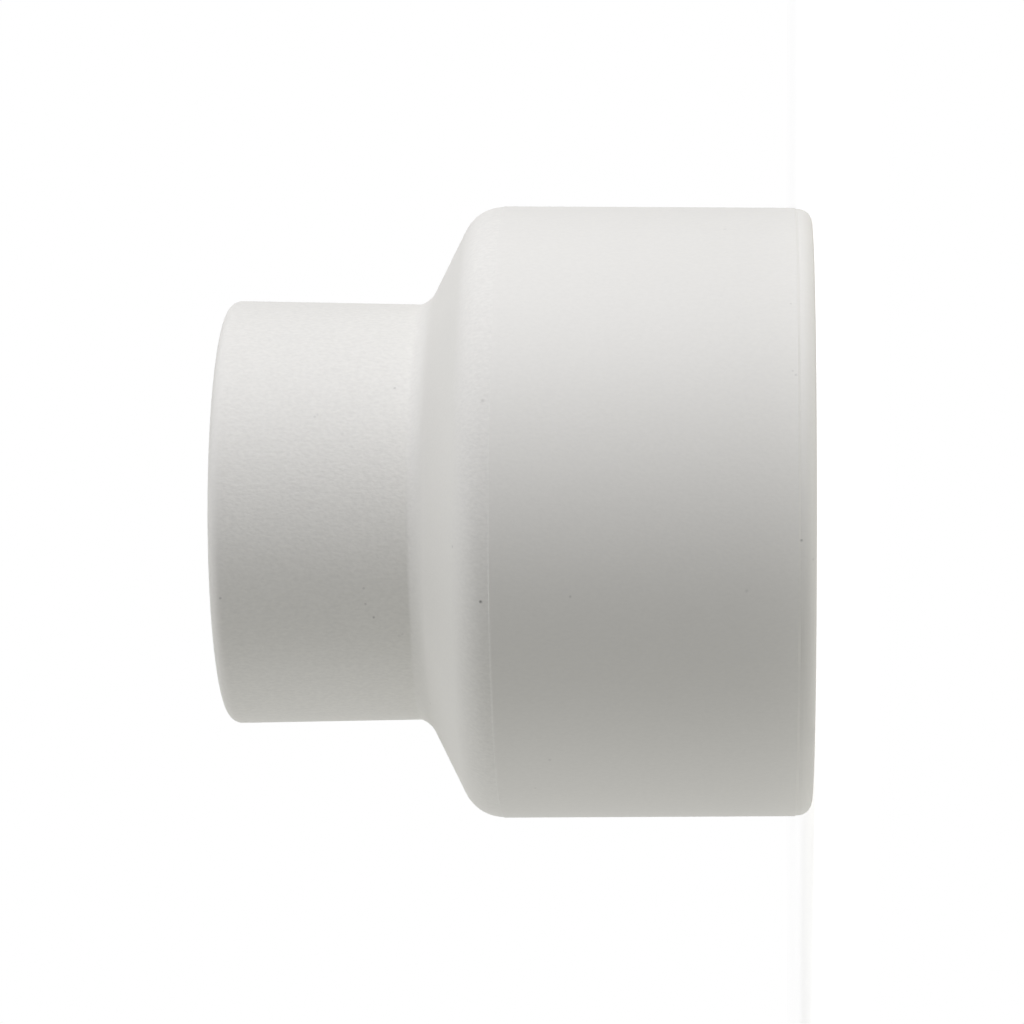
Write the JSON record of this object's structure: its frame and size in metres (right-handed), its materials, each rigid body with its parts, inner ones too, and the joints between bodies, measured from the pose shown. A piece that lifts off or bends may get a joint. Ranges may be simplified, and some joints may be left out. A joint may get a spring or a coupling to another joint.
{
  "type": "reducing adapter coupling",
  "caption": "White plastic reducing coupling: a wide pipe socket and a narrow one on one axis, joined by a steep cone, for gluing two pipe sizes end to end.",
  "frame": {"origin": "centre of the wide mouth, in the plane of its rim, where the part stands", "axes": "+Z along the pipe axis from the wide mouth to the narrow one; X and Y are any two square to it, since the part is round"},
  "size_m": [0.1008, 0.1008, 0.0959],
  "materials": {
    "white_pvc": "satin"
  },
  "bodies": {
    "root": {"coupling_body": "white_pvc"}
  },
  "joints": []
}
